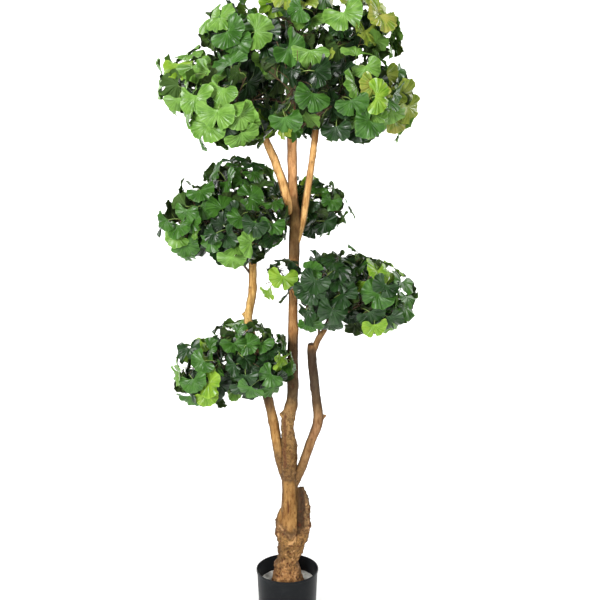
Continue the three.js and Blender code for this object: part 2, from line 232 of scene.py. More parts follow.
# Specks: small separate spots, such as dust, grains of sand and the pores of wood.
specks, inside, outside = new_group(
    "Specks", {"Coordinates": None, "Scale": 400.0, "Share": 0.3, "Size": 0.35}, ["Mask"]
)
cells = place_node("TexVoronoi", {"Vector": inside["Coordinates"], "Scale": inside["Scale"]})
spot = sum_of("LESS_THAN", cells.outputs["Distance"], inside["Size"])
chance = place_node("SeparateColor", {"Color": cells.outputs["Color"]}).outputs[0]
chosen = sum_of("LESS_THAN", chance, inside["Share"])
specks.links.new(scaled(spot, chosen), outside["Mask"])


def speckled(coordinates, scale, share, size):
    """The mask of the specks on a surface."""
    inputs = {"Coordinates": coordinates, "Scale": scale, "Share": share, "Size": size}
    return use_group(specks, inputs)["Mask"]


charcoal_plastic, shader, coordinates = new_material("charcoal plastic")
cloud = cloudy(coordinates, 11.0, 4.0, 0.6)
streak = cloudy(stretched(coordinates, 0.12, 1.0), 300.0, 2.0)
rub = scaled(faded(cloud, 0.45, 0.72), faded(streak, 0.42, 0.7))
dust = speckled(coordinates, 520.0, 0.10, 0.28)
body = mixed(cloudy(coordinates, 22.0), tone(20, 22, 24), tone(27, 29, 31))
body = tinted(body, rub, 0.35, tone(56, 58, 60))
body = tinted(body, dust, 0.4, tone(86, 85, 82))
roughness = sum_of("MULTIPLY_ADD", rub, 0.18, 0.36)
painted(shader, body, sum_of("MULTIPLY_ADD", dust, 0.3, roughness), 0.085)
flow = cloudy(stretched(coordinates, 1.0, 0.05), 60.0, 2.0)
bumped(shader, sum_of("ADD", flow, cloudy(coordinates, 900.0)), 0.12, 0.0008)

band_foot = POT_HEIGHT - POT_BAND
profile = held_flat(
    [
        (0.0, FOOT_RECESS),
        (POT_FOOT - FOOT_RING, FOOT_RECESS),
        (POT_FOOT - FOOT_RING + FOOT_RECESS, 0.0),
        *rounded(POT_FOOT - POT_EDGE, POT_EDGE, POT_EDGE, -90, 0),
        (pot_radius(band_foot), band_foot),
        *rounded(POT_TOP - POT_EDGE, band_foot + POT_EDGE, POT_EDGE, -90, 0),
        *rounded(POT_TOP - POT_WALL / 2, POT_HEIGHT - POT_WALL / 2, POT_WALL / 2, 0, 180, 8),
        (POT_TOP - POT_WALL, band_foot + POT_LIP),
        (pot_radius(band_foot) - POT_WALL, band_foot),
        (pot_radius(POT_FLOOR) - POT_WALL, POT_FLOOR),
        (0.0, POT_FLOOR),
    ]
)
points, faces = turned(profile, POT_SIDES)
turn = np.arctan2(points[:, 1], points[:, 0])
bulge = OUT_OF_ROUND * np.sin(2.0 * turn + 0.6) * points[:, 2] / POT_HEIGHT
points[:, :2] *= 1.0 + (bulge / POT_TOP)[:, None]
pot = add_piece("pot_shell", points, faces, charcoal_plastic)
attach(pot, "root")
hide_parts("pot")

# The cement. It is poured wet round the foot of the trunk and fills the pot to about 50 mm under its rim,
# which holds the tree up. It has set light grey and uneven, climbing a little up the wood and the wall.
CEMENT_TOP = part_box("pot_fill")[1].z
CEMENT_CLEAR = 0.0002
TRUNK_FOOT = 0.049
TRUNK_CLIMB = (0.003, 0.004)
WALL_CLIMB = (0.0015, 0.003)
CEMENT_SETTLED = 0.001
CEMENT_LUMPS = [(0.0022, 0.024, 0.0), (0.0011, 0.009, 3.0), (0.0005, 0.004, 5.0)]
CEMENT_SIDES = 160
CEMENT_RINGS = 60


def wavy(place, size, seed=0.0):
    """Smooth noise from -1 to 1 whose lumps are about size across."""
    return noise.noise(Vector(place) / size + Vector((seed, -seed, 2.0 * seed)))


def lumpy(place, lumps):
    """Noise made up of lumps, given as rows of their height, their size across and a seed."""
    return sum(height * wavy(place, size, seed) for height, size, seed in lumps)


cement_grey, shader, coordinates = new_material("set cement")
grains = speckled(coordinates, 620.0, 0.35, 0.4)
damp = faded(cloudy(coordinates, 26.0, 5.0), 0.40, 0.62)
body = mixed(damp, tone(226, 226, 220), tone(158, 158, 152))
body = tinted(body, grains, 0.45, tone(120, 116, 106))
soiled = faded(cloudy(coordinates, 70.0, 4.0), 0.55, 0.75)
body = tinted(body, soiled, 0.5, tone(112, 92, 66))
painted(shader, body, faded(damp, 0.0, 1.0, 0.95, 0.75))
bumped(shader, cloudy(coordinates, 480.0, 6.0, 0.7), 0.7, 0.0012)

cement_radius = pot_radius(CEMENT_TOP) - POT_WALL - CEMENT_CLEAR
foot_radius = pot_radius(POT_FLOOR) - POT_WALL - CEMENT_CLEAR
top_rings = [(cement_radius * i / CEMENT_RINGS, CEMENT_TOP) for i in range(CEMENT_RINGS, -1, -1)]
profile = [(0.0, POT_FLOOR + CEMENT_CLEAR), (foot_radius, POT_FLOOR + CEMENT_CLEAR), *top_rings]
points, faces = turned(profile, CEMENT_SIDES)
for i in np.flatnonzero(points[:, 2] == CEMENT_TOP):
    place = points[i].copy()
    out = math.hypot(place[0], place[1])
    climb = TRUNK_CLIMB[0] * math.exp(-abs(out - TRUNK_FOOT) / TRUNK_CLIMB[1])
    climb += WALL_CLIMB[0] * math.exp((out - cement_radius) / WALL_CLIMB[1])
    points[i, 2] += lumpy(place, CEMENT_LUMPS) + climb - CEMENT_SETTLED
cement = add_piece("cement_fill", points, faces, cement_grey)
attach(cement, "root")
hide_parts("pot_fill")

# The trunk. One real coffee-wood stock, cut and dried: a knobbly foot with a sawn-off twin stem and a
# broken burl, a stripped neck, a furrowed stretch, and a long smooth stem that runs up into the crown. Each
# limb is given by its stations, each a middle and a radius.
TRUNK = [
    (0.001, 0.0, 0.118, 0.052), (-0.001, 0.0, 0.176, 0.039), (0.002, 0.0, 0.214, 0.031),
    (0.008, 0.002, 0.290, 0.038), (0.008, 0.0, 0.385, 0.026), (0.006, -0.002, 0.480, 0.024),
    (0.007, 0.0, 0.562, 0.0232), (0.001, 0.002, 0.618, 0.019), (0.005, 0.002, 0.658, 0.020),
    (0.016, 0.0, 0.715, 0.017), (0.018, -0.005, 0.890, 0.0155), (0.019, 0.002, 1.015, 0.014),
    (0.023, 0.005, 1.190, 0.017), (0.025, 0.003, 1.245, 0.017), (0.019, 0.0, 1.325, 0.0134),
    (0.016, -0.003, 1.470, 0.0145), (0.015, 0.0, 1.610, 0.009),
]
SPUR = [
    (0.020, -0.006, 0.212, 0.016), (0.037, -0.009, 0.262, 0.020), (0.050, -0.008, 0.312, 0.020),
    (0.051, -0.003, 0.388, 0.0165), (0.042, 0.0, 0.436, 0.009),
]
BURL = [
    (-0.004, 0.0, 0.225, 0.018), (-0.017, -0.002, 0.290, 0.019), (-0.019, 0.0, 0.338, 0.014),
    (-0.017, 0.002, 0.366, 0.006),
]
TRUNK_KNOT = [(0.006, 0.0, 0.645, 0.010), (-0.017, -0.003, 0.671, 0.0085)]
NECK_LIP = 0.298
NECK_TOP = 0.464
FURROWS_END = 0.690
# Rotted slits in the front: each one's x, its lower and upper end, half its width and how dark it is.
SLITS = [
    (0.002, 0.356, 0.404, 0.0030, 1.0),
    (-0.0065, 0.500, 0.672, 0.0062, 0.72),
    (0.014, 0.530, 0.560, 0.0022, 0.5),
]
LOFT_STEP = 0.004
LOFT_SIDES = 36
TRUNK_GRAIN = 0.0022
LOOKS = ("stripped", "pit", "stain_and_shade", "wear_and_highlight")
TRUNK_KNOBS = [(0.0046, 0.030, 1.0), (0.0040, 0.014, 2.0), (0.0028, 0.0078, 3.0)]
TRUNK_FURROWS = [(0.0024, 0.024, 5.0), (0.0020, 0.0085, 6.0)]
WEAR_AND_HIGHLIGHT_EDGE = (0.0008, 0.0046)
RAMP_SPAN = 2.0


def limb_at(stations, share):
    """A limb's middle and radius at a share of its length, on a smooth curve through its stations."""
    through = np.array(stations)
    before = 2.0 * through[0] - through[1]
    after = 2.0 * through[-1] - through[-2]
    held = np.vstack([before, through, after])
    place = share * (len(through) - 1)
    i = min(int(place), len(through) - 2)
    a, b, c, d = held[i : i + 4]
    u = place - i
    square = (2.0 * a - 5.0 * b + 4.0 * c - d) * u**2
    return 0.5 * (2.0 * b + (c - a) * u + square + (3.0 * (b - c) + d - a) * u**3)


def net(rows, columns, first=0, closed=False):
    """Faces between rows of points. A closed net joins each row's last point to its first."""
    faces = []
    for row in range(rows - 1):
        start = first + row * columns
        for k in range(columns if closed else columns - 1):
            a, b = start + k, start + (k + 1) % columns
            faces.append((a, b, b + columns, a + columns))
    return faces


def tube(middles, radii, sides):
    """Points and faces of a closed tube of rings square to a line of middles."""
    middles = np.asarray(middles, float)
    ahead = np.gradient(middles, axis=0)
    ahead /= np.linalg.norm(ahead, axis=1)[:, None]
    across = np.cross(ahead[0], (0.3, 1.0, 0.2))
    angles = np.arange(sides) * 2.0 * math.pi / sides
    points = []
    for middle, radius, along in zip(middles, radii, ahead):
        across = across - along * (across @ along)
        across /= np.linalg.norm(across)
        deep = np.cross(along, across)
        ring = np.outer(np.cos(angles), across) + np.outer(np.sin(angles), deep)
        points.append(middle + radius * ring)
    faces = net(len(middles), sides, closed=True)
    faces.append(tuple(range(sides))[::-1])
    faces.append(tuple(range((len(middles) - 1) * sides, len(middles) * sides)))
    return np.vstack(points), faces


def joined(parts):
    """Several (points, faces) as one."""
    points = []
    faces = []
    start = 0
    for part_points, part_faces in parts:
        points.append(part_points)
        faces.extend(tuple(i + start for i in face) for face in part_faces)
        start += len(part_points)
    return np.vstack(points), faces


def fade(value, low, high):
    """0 at one value and beyond it, 1 at the other, and smooth between them. Either may be the lower."""
    share = min(max((value - low) / (high - low), 0.0), 1.0)
    return share * share * (3.0 - 2.0 * share)


def bell(value, width):
    """1 where a value is 0, falling smoothly to 0 on both sides."""
    return math.exp(-((value / width) ** 2))


def carved(name, limbs, grain, relief, material):
    """Limbs fused into one mesh of a fine grain, with a relief carved into it.

    relief(place, out) gives how far the bark stands out there, and its share of each of the looks."""
    parts = []
    for stations in limbs:
        run = sum(math.dist(a[:3], b[:3]) for a, b in zip(stations, stations[1:]))
        rings = max(int(run / LOFT_STEP), 6)
        along = np.array([limb_at(stations, i / rings) for i in range(rings + 1)])
        parts.append(tube(along[:, :3], along[:, 3], LOFT_SIDES))
    piece = add_piece(name, *joined(parts), material)
    fused = piece.modifiers.new("fused", "REMESH")
    fused.mode = "VOXEL"
    fused.voxel_size = grain
    eased = piece.modifiers.new("eased", "SMOOTH")
    eased.iterations = 5
    whole = bpy.data.meshes.new_from_object(piece.evaluated_get(bpy.context.evaluated_depsgraph_get()))
    piece.modifiers.clear()
    piece.data = whole
    whole.shade_smooth()
    normals = [vertex.normal.copy() for vertex in whole.vertices]
    shares = {key: [] for key in LOOKS}
    places = []
    for vertex, out in zip(whole.vertices, normals):
        depth, *looks = relief(vertex.co, out)
        places.append(vertex.co + out * depth)
        for key, look in zip(shares, looks):
            shares[key].append(look)
    whole.vertices.foreach_set("co", np.array(places).ravel())
    for key, values in shares.items():
        whole.attributes.new(key, "FLOAT", "POINT").data.foreach_set("value", values)
    whole.update()
    return piece


def pitted(place, size, share):
    """How deep in a pit a place lies, from 0 to 1, for pits about size apart of which a share are open."""
    gaps, middles = noise.voronoi(Vector(place) / size)
    if noise.cell(middles[0] * 7.3) > 2.0 * share - 1.0:
        return 0.0
    return fade(gaps[0], 0.42, 0.12)


def streaks(place, across, along, seed=0.0):
    """Noise from -1 to 1 that is drawn out along an upright limb."""
    return noise.noise(Vector((place[0] / across + seed, place[1] / across, place[2] / along)))


def trunk_relief(place, out):
    """The foot is knobbly and pitted, the neck stripped and streaked, the next stretch furrowed, and the
    rest smooth."""
    x, y, z = place
    wander = 0.006 * wavy(place, 0.015, 9.0)
    ragged = wander + 0.010 * wavy(place, 0.011, 14.0)
    off_spur = 1.0 - fade(x, 0.033, 0.038) * fade(z, 0.455, 0.445)
    lip = NECK_LIP + 0.9 * abs(x - 0.009) + ragged
    stripped = fade(z, lip - 0.006, lip + 0.012) * off_spur
    stripped *= fade(z + ragged, NECK_TOP + 0.010, NECK_TOP - 0.010)
    smooth = fade(z, FURROWS_END - 0.03, FURROWS_END)
    furrowed = fade(z + wander, NECK_TOP - 0.006, NECK_TOP + 0.012) * (1.0 - smooth)
    knobbly = max(1.0 - stripped - furrowed - smooth, 0.0)
    barked = knobbly + 0.5 * furrowed
    ridges = 1.0 - abs(2.0 * streaks(place, 0.010, 0.045, 4.0))
    swells = 0.0012 * wavy(place, 0.034, 7.0) + 0.0006 * streaks(place, 0.006, 0.060, 8.0)
    depth = knobbly * lumpy(place, TRUNK_KNOBS)
    depth += furrowed * (lumpy(place, TRUNK_FURROWS) + 0.0010 * ridges)
    depth += (smooth + stripped) * swells + smooth * 0.0022 * pitted(place, 0.060, 0.5)
    pit = barked * max(pitted(place, 0.0125, 0.6), 0.8 * pitted(place, 0.0074, 0.45))
    pit = max(pit, 0.7 * stripped * pitted((x, y, z * 0.5), 0.0070, 0.4))
    pit = max(pit, 0.8 * furrowed * pitted(place, 0.0060, 0.5))
    pit = max(pit, 0.5 * smooth * pitted((x, y, z * 0.4), 0.0090, 0.35))
    for slit_x, low, high, half_width, share in SLITS:
        if y < 0.0 and low < z < high:
            edge = half_width * (1.0 + 0.5 * wavy(place, 0.012, 10.0))
            edge *= fade(min(z - low, high - z), 0.0, 0.012)
            bend = 0.003 * noise.noise(Vector((0.0, 0.0, z / 0.03)))
            pit = max(pit, share * fade(abs(x - slit_x - bend), edge + 0.0012, 0.4 * edge))
    depth -= 0.0030 * pit + 0.0022 * stripped * fade(-out[1], -0.3, 0.3)
    rim = bell(z - lip + 0.004, 0.006) * off_spur * fade(-out[1], -0.4, 0.2)
    depth += 0.0030 * rim * fade(z, 0.36, 0.34)
    # The hollow in the spur's front is carved; its darkening is partly dead wood and partly painted shade.
    hollowed = fade(x, 0.031, 0.036) * fade(x + wander, 0.055, 0.049) * fade(-out[1], -0.2, 0.3)
    hollowed *= fade(z, 0.295, 0.33) * fade(z, 0.44, 0.425)
    depth -= 0.0060 * hollowed
    # Painted shadow under the lip, where the stripped neck meets the stock.
    socket = bell(z - lip + 0.002, 0.012) * off_spur * fade(abs(x - 0.010), 0.022, 0.010)
    band = bell(z + ragged - NECK_TOP, 0.013) * fade(x, -0.022, 0.012)
    # Painted shade in the groove between the stem and the spur.
    groove_shade = fade(x, 0.029, 0.034) * fade(x, 0.046, 0.040) * fade(z, 0.29, 0.32) * fade(z, 0.46, 0.44)
    sawn = fade(out[2], 0.4, 0.75) * fade(z, 0.41, 0.425) * (1.0 - off_spur)
    # Painted shade in the sunken places of the relief.
    hollow_shade = 0.8 * fade(-depth, 0.0012, 0.0045) * (1.0 - 0.6 * stripped)
    weathered = furrowed * (0.16 + 0.34 * fade(wavy((x, y, 0.6 * z), 0.012, 18.0), -0.2, 0.6))
    # Painted shade: the limb is darker on its sides that face left and right.
    flank_shade = 0.7 * fade(abs(out[0]), 0.55, 0.95)
    # The joint band, the sawn top and the weathering are stains of the wood; the darkening under the lip, in
    # the groove, hollow and sunk places and on the flanks is painted shade.
    stain_and_shade = min(max(0.6 * band, 0.7 * socket, groove_shade, hollowed, sawn, hollow_shade, weathered, flank_shade), 1.0)
    # Paler raised knobs: partly wear and partly a painted highlight.
    wear_and_highlight = fade(depth + 0.0020 * wavy(place, 0.0045, 15.0), *WEAR_AND_HIGHLIGHT_EDGE) * barked * (1.0 - stain_and_shade)
    return depth, min(stripped + 0.9 * smooth, 1.0), pit, stain_and_shade, wear_and_highlight


# Grain of wood: fine streaks along the limb over broad blotches, as a share of deep colour and a height.
grain, inside, outside = new_group(
    "Wood grain", {"Coordinates": None, "Streak scale": 130.0, "Blotch scale": 18.0}, ["Deep", "Height"]
)
drawn = stretched(inside["Coordinates"], 1.0, 0.14)
fine = cloudy(drawn, inside["Streak scale"], 6.0, 0.65)
blotch = cloudy(stretched(inside["Coordinates"], 1.0, 0.45), inside["Blotch scale"], 4.0)
lines = faded(fine, 0.42, 0.62, 0.0, 0.55)
deep = sum_of("ADD", lines, faded(blotch, 0.42, 0.60, 0.0, 0.6))
grain.links.new(deep, outside["Deep"])
grain.links.new(sum_of("MULTIPLY_ADD", blotch, 0.5, fine), outside["Height"])


def wood_material(name, smooth_tones, rough_tones, pit_tone, roughness):
    """Wood whose colour changes up the tree. Its smooth and its rough stretches each take rows of a height
    and an everyday red, green and blue."""
    material, shader, coordinates = new_material(name)
    shares = {}
    for key in LOOKS:
        share = material.node_tree.nodes.new("ShaderNodeAttribute")
        share.attribute_name = key
        shares[key] = share.outputs["Fac"]
    scales = {"Streak scale": 170.0, "Blotch scale": 42.0}
    figure = use_group(grain, {"Coordinates": coordinates} | scales)
    pores = speckled(stretched(coordinates, 1.0, 0.35), 420.0, 0.25, 0.34)
    height = place_node("SeparateXYZ", {"Vector": coordinates}).outputs["Z"]
    wander = sum_of("MULTIPLY_ADD", cloudy(coordinates, 30.0), 0.06, -0.03)
    height = sum_of("ADD", height, wander)
    by_height = []
    for rows in (smooth_tones, rough_tones):
        ramp = place_node("ValToRGB", {"Fac": sum_of("DIVIDE", height, RAMP_SPAN)})
        stops = ramp.color_ramp.elements
        for i, (up, *colour) in enumerate(rows):
            stop = stops[i] if i < 2 else stops.new(up / RAMP_SPAN)
            stop.position = up / RAMP_SPAN
            stop.color = tone(*colour)
        by_height.append(ramp.outputs[0])
    depth = scaled(figure["Deep"], 0.75)
    smooth = mixed(depth, by_height[0], (0.36, 0.24, 0.14, 1.0), "MULTIPLY")
    mottled = faded(cloudy(coordinates, 120.0, 5.0, 0.7), 0.44, 0.62)
    rough_deep = mixed(1.0, by_height[1], (0.42, 0.42, 0.40, 1.0), "MULTIPLY")
    rough = mixed(mottled, by_height[1], rough_deep)
    body = mixed(shares["stripped"], rough, smooth)
    body = tinted(body, pores, 0.35, rough_deep)
    # Paler on the raised knobs: partly wear and partly a painted highlight.
    body = tinted(body, shares["wear_and_highlight"], 0.75, tone(214, 166, 114))
    # Darker where stained, which is partly painted shade.
    body = tinted(body, shares["stain_and_shade"], 0.88, tone(52, 36, 22))
    body = tinted(body, shares["pit"], 0.85, pit_tone)
    painted(shader, body, faded(figure["Deep"], 0.0, 1.0, roughness - 0.08, roughness + 0.1), 0.22)
    knobs = cloudy(coordinates, 260.0, 5.0, 0.65)
    relief = sum_of("MULTIPLY_ADD", figure["Height"], 0.8, scaled(knobs, 0.6))
    bumped(shader, relief, 0.7, 0.0026)
    return material


# The darker bands where the trunk runs through the leaf clouds are painted shade, and the pale stretch just
# under the crown is painted light.
TRUNK_SMOOTH = [
    (0.15, 152, 106, 62), (0.34, 170, 128, 72), (0.45, 158, 118, 64), (0.66, 160, 124, 78),
    (0.69, 140, 106, 62), (0.72, 76, 60, 38), (0.88, 82, 62, 40), (0.918, 196, 148, 94),
    (1.11, 184, 138, 86), (1.15, 104, 78, 46), (1.185, 126, 94, 56), (1.20, 160, 124, 76),
    (1.222, 156, 120, 74), (1.238, 112, 88, 48), (1.306, 122, 90, 54), (1.330, 206, 156, 104),
    (1.47, 226, 166, 110), (1.58, 96, 64, 38),
]
# The darker band just above the pot's rim, at about 0.24 m, is painted shade, and the foot inside the pot is
# lightened as painted light.
TRUNK_ROUGH = [
    (0.12, 172, 124, 76), (0.165, 178, 128, 78), (0.20, 166, 122, 74), (0.218, 146, 108, 64),
    (0.243, 124, 90, 48), (0.262, 136, 98, 54), (0.273, 158, 118, 66), (0.290, 128, 92, 54),
    (0.34, 126, 96, 62), (0.43, 120, 92, 60), (0.475, 120, 88, 50), (0.56, 144, 108, 60),
    (0.61, 158, 122, 72), (0.65, 166, 130, 80),
]
trunk_wood = wood_material("trunk wood", TRUNK_SMOOTH, TRUNK_ROUGH, tone(86, 44, 24), 0.74)
trunk = carved("trunk_wood", [TRUNK, SPUR, BURL, TRUNK_KNOT], TRUNK_GRAIN, trunk_relief, trunk_wood)
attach(trunk, "root")
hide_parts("trunk")

# The boughs. Four branches of the same wood, dowelled and glued into the trunk and levelled off with
# filler: a long one up the left, one up the right that has a sawn top and a side shoot, and a pair that
# fork from the trunk into the crown.
BOUGH_LEFT = [
    (0.0, 0.002, 0.450, 0.014), (-0.0205, 0.004, 0.515, 0.0145), (-0.040, 0.010, 0.632, 0.0155),
    (-0.0615, 0.024, 0.722, 0.014), (-0.112, 0.056, 0.912, 0.0135), (-0.116, 0.062, 0.955, 0.013),
    (-0.104, 0.072, 1.030, 0.013), (-0.104, 0.084, 1.175, 0.012),
]
LEFT_KNOT = [(-0.112, 0.058, 0.935, 0.008), (-0.133, 0.058, 0.962, 0.006)]
BOUGH_RIGHT = [
    (0.014, 0.0, 0.430, 0.013), (0.039, -0.002, 0.486, 0.0142), (0.076, -0.018, 0.597, 0.0142),
    (0.0925, -0.030, 0.654, 0.0152), (0.087, -0.038, 0.722, 0.0138), (0.074, -0.056, 0.845, 0.0138),
    (0.073, -0.064, 0.893, 0.0125),
]
RIGHT_SPIKE = [(0.090, -0.030, 0.648, 0.009), (0.116, -0.031, 0.672, 0.004)]
RIGHT_SHOOT = [
    (0.075, -0.060, 0.862, 0.0095), (0.092, -0.070, 0.908, 0.0086), (0.112, -0.080, 0.940, 0.007),
]
CROWN_LEFT = [
    (0.018, 0.001, 1.262, 0.013), (0.0, -0.004, 1.318, 0.0135), (-0.032, -0.014, 1.412, 0.0124),
    (-0.070, -0.025, 1.498, 0.010), (-0.092, -0.032, 1.552, 0.0075),
]
CROWN_RIGHT = [
    (0.030, 0.003, 1.180, 0.009), (0.048, 0.005, 1.248, 0.0102), (0.0715, 0.014, 1.400, 0.0102),
    (0.088, 0.024, 1.525, 0.0086), (0.098, 0.030, 1.585, 0.0065),
]
BOUGH_GRAIN = 0.0019
SAWN_RIGHT = 0.885
BARK_LUMPS = [(0.0014, 0.030, 11.0), (0.0006, 0.010, 12.0)]


def bough_relief(place, out):
    """Smooth bark with long streaks, a few swollen eyes where shoots were rubbed off, and a dark top."""
    x, _, z = place
    eye = pitted(place, 0.048, 0.5)
    pit = 0.7 * pitted(place, 0.014, 0.12) + fade(eye, 0.75, 0.95)
    depth = lumpy(place, BARK_LUMPS) + 0.0005 * streaks(place, 0.005, 0.050, 13.0)
    depth += 0.0020 * eye - 0.0014 * pit
    rough_top = 0.49 + 0.05 * fade(x, 0.02, 0.0)
    foot = fade(z + 0.02 * wavy(place, 0.02, 19.0), rough_top + 0.05, rough_top - 0.02)
    pit = max(pit, 0.7 * foot * pitted(place, 0.0062, 0.5))
    sawn = fade(out[2], 0.5, 0.85) * fade(z, SAWN_RIGHT, SAWN_RIGHT + 0.004)
    shade = 0.5 * fade(streaks(place, 0.03, 0.09), 0.1, 0.6)
    # Painted shade: the bough is darker on its sides that face left and right.
    flank_shade = 0.75 * fade(abs(out[0]), 0.50, 0.92)
    # Painted shade on the left bough where it runs up under the low cloud of leaves.
    shade_under_low_cloud = 0.7 * fade(z - 0.04 * out[0] + 0.03 * wavy(place, 0.02, 20.0), 0.61, 0.71)
    shade_under_low_cloud *= fade(z, 0.80, 0.76) * (x < 0.0)
    # Painted shade on the left side of the right bough's middle stretch.
    side_shade = fade(z, 0.735, 0.755) * fade(z + 0.02 * wavy(place, 0.02, 16.0), 0.885, 0.860)
    side_shade *= fade(x, 0.04, 0.06) * fade(x - 0.081 + 0.012 * wavy(place, 0.018, 17.0), 0.008, -0.004)
    # The sawn top and the streaks are the wood's own; the darkening at a bough's rough foot, where it meets
    # the trunk, is painted shade, as are the flanks, the side and the stretch under the low cloud.
    stain_and_shade = max(sawn, shade, 0.45 * foot, 0.85 * side_shade, flank_shade, shade_under_low_cloud)
    return depth, 1.0 - foot, min(pit, 1.0), stain_and_shade, 0.0


# In both bough ramps the darker bands, where the boughs run under and into the leaf clouds, are painted
# shade.
PALE_BARK = [
    (0.46, 140, 104, 58), (0.56, 186, 144, 82), (0.66, 176, 134, 76), (0.72, 96, 72, 46),
    (0.87, 170, 130, 80), (0.98, 236, 194, 116), (1.10, 232, 186, 112), (1.30, 236, 188, 120),
    (1.46, 240, 186, 118), (1.58, 96, 64, 40),
]
# A darker copy of the bough ramp for the right bough: painted shade.
SHADED_BARK = [
    (0.46, 110, 82, 50), (0.50, 134, 102, 64), (0.58, 154, 118, 76), (0.62, 140, 100, 66),
    (0.66, 156, 120, 80), (0.71, 104, 82, 54), (0.76, 70, 56, 38), (0.86, 74, 58, 40), (0.90, 142, 108, 68),
]
BARK_ROUGH = [(0.40, 140, 102, 58), (0.60, 150, 112, 64)]
# The right bough takes a darker, shaded copy of the bough wood: painted shade.
pale_wood = wood_material("pale bough wood", PALE_BARK, BARK_ROUGH, tone(88, 52, 30), 0.66)
shaded_bough_wood = wood_material("shaded bough wood", SHADED_BARK, BARK_ROUGH, tone(88, 52, 30), 0.66)
for node_name, limbs, wood in (
    ("bough_left", [BOUGH_LEFT, LEFT_KNOT], pale_wood),
    ("bough_right", [BOUGH_RIGHT, RIGHT_SPIKE, RIGHT_SHOOT], shaded_bough_wood),
    ("bough_crown_left", [CROWN_LEFT], pale_wood),
    ("bough_crown_right", [CROWN_RIGHT], pale_wood),
):
    bough = carved(node_name + "_wood", limbs, BOUGH_GRAIN, bough_relief, wood)
    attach(bough, "root")
    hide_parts(node_name)

# The wires. Each mass of leaves grows from one brown, paper-taped wire stem that is drilled into its limb.
# Main twigs fan out from the stem's end by the golden angle, and side twigs are twisted on along them.
STEM_LINES = {
    "trunk": TRUNK,
    "bough_left": BOUGH_LEFT,
    "bough_right": RIGHT_SHOOT,
    "bough_crown_left": CROWN_LEFT,
    "bough_crown_right": CROWN_RIGHT,
}
STEM_RADII = (0.0042, 0.0028)
STEM_RINGS = 25
STEM_SIDES = 8
STEM_ARCH = 0.08
STEM_FORKS = 0.7
TWIG_RADII = (0.0020, 0.0013)
TWIG_RINGS = 9
TWIG_SIDES = 6
TWIG_REACH = 0.62
TWIG_BOW = 0.07
SIDE_RADII = (0.0012, 0.0009)
SIDE_RINGS = 6
SIDE_SIDES = 5
SIDE_STARTS = (0.34, 0.56, 0.78)
SIDE_LENGTH = 0.052
DROOP = 0.7
GOLDEN = math.pi * (3.0 - math.sqrt(5.0))
TURN_SHARE = 0.618
LIMB_CLEAR = 0.004
SPACE_CLEAR = 0.001
BALLS_A_STATION = 7
BALLS_WITHIN = 0.06
# A mass has a name, a limb and the share of its length where the stem leaves it, a heart, half the widths of
# the oval that it fills, a number of main twigs and a seed.
MASSES = [
    ("crown_left_low", "bough_crown_left", 0.78, (-0.247, -0.010, 1.628), (0.134, 0.138, 0.110), 9, 1006),
    ("crown_left_up", "bough_crown_left", 1, (-0.118, -0.030, 1.724), (0.166, 0.146, 0.140), 10, 2009),
    ("crown_top", "trunk", 1, (0.040, 0.020, 1.790), (0.162, 0.156, 0.134), 10, 3013),
    ("crown_front_left", "bough_crown_left", 0.89, (-0.140, -0.160, 1.560), (0.146, 0.140, 0.142), 9, 4004),
    ("crown_front", "trunk", 0.965, (0.020, -0.210, 1.595), (0.146, 0.130, 0.142), 9, 5045),
    ("crown_front_right", "trunk", 0.945, (0.172, -0.150, 1.574), (0.146, 0.140, 0.138), 9, 6022),
    ("crown_right_low", "bough_crown_right", 0.83, (0.250, 0.015, 1.584), (0.136, 0.138, 0.138), 9, 7008),
    ("crown_right_up", "bough_crown_right", 1, (0.188, -0.005, 1.745), (0.154, 0.144, 0.140), 10, 8003),
    ("crown_back_left", "trunk", 0.98, (-0.112, 0.178, 1.600), (0.150, 0.136, 0.138), 9, 9006),
    ("crown_back_right", "bough_crown_right", 0.92, (0.128, 0.178, 1.598), (0.150, 0.136, 0.138), 9, 10012),
    ("middle_left", "bough_left", 0.9, (-0.252, 0.020, 1.250), (0.136, 0.130, 0.138), 9, 11002),
    ("middle_front", "bough_left", 0.93, (-0.118, -0.060, 1.220), (0.140, 0.126, 0.134), 10, 12060),
    ("middle_top", "bough_left", 1, (-0.140, 0.075, 1.318), (0.146, 0.136, 0.124), 9, 13011),
    ("middle_right", "bough_left", 0.98, (0.084, 0.150, 1.272), (0.132, 0.118, 0.098), 8, 14008),
    ("middle_back", "bough_left", 0.955, (-0.186, 0.176, 1.236), (0.142, 0.124, 0.124), 9, 15013),
    ("middle_low", "trunk", 0.71, (-0.014, -0.099, 1.082), (0.072, 0.064, 0.078), 5, 16188),
    ("right_near", "bough_right", 0.5, (0.100, -0.136, 1.056), (0.124, 0.120, 0.122), 9, 17000),
    ("right_far", "bough_right", 1, (0.242, -0.086, 1.030), (0.136, 0.130, 0.122), 9, 18009),
    ("right_back", "bough_right", 0.75, (0.172, 0.036, 1.048), (0.140, 0.122, 0.126), 9, 19005),
    ("low_left", "bough_left", 0.5, (-0.214, -0.030, 0.806), (0.132, 0.124, 0.126), 9, 20007),
    ("low_right", "bough_left", 0.55, (-0.094, -0.062, 0.838), (0.128, 0.120, 0.126), 9, 21008),
    ("low_back", "bough_left", 0.6, (-0.150, 0.104, 0.824), (0.130, 0.116, 0.122), 9, 22015),
]
# The foot of each cloud's dome, which its leaves face away from. A mass's name begins with its cloud's.
CLOUDS = {
    "crown": (0.0, 0.0, 1.540),
    "middle": (-0.140, 0.060, 1.200),
    "right": (0.170, -0.060, 1.000),
    "low": (-0.145, 0.0, 0.770),
}
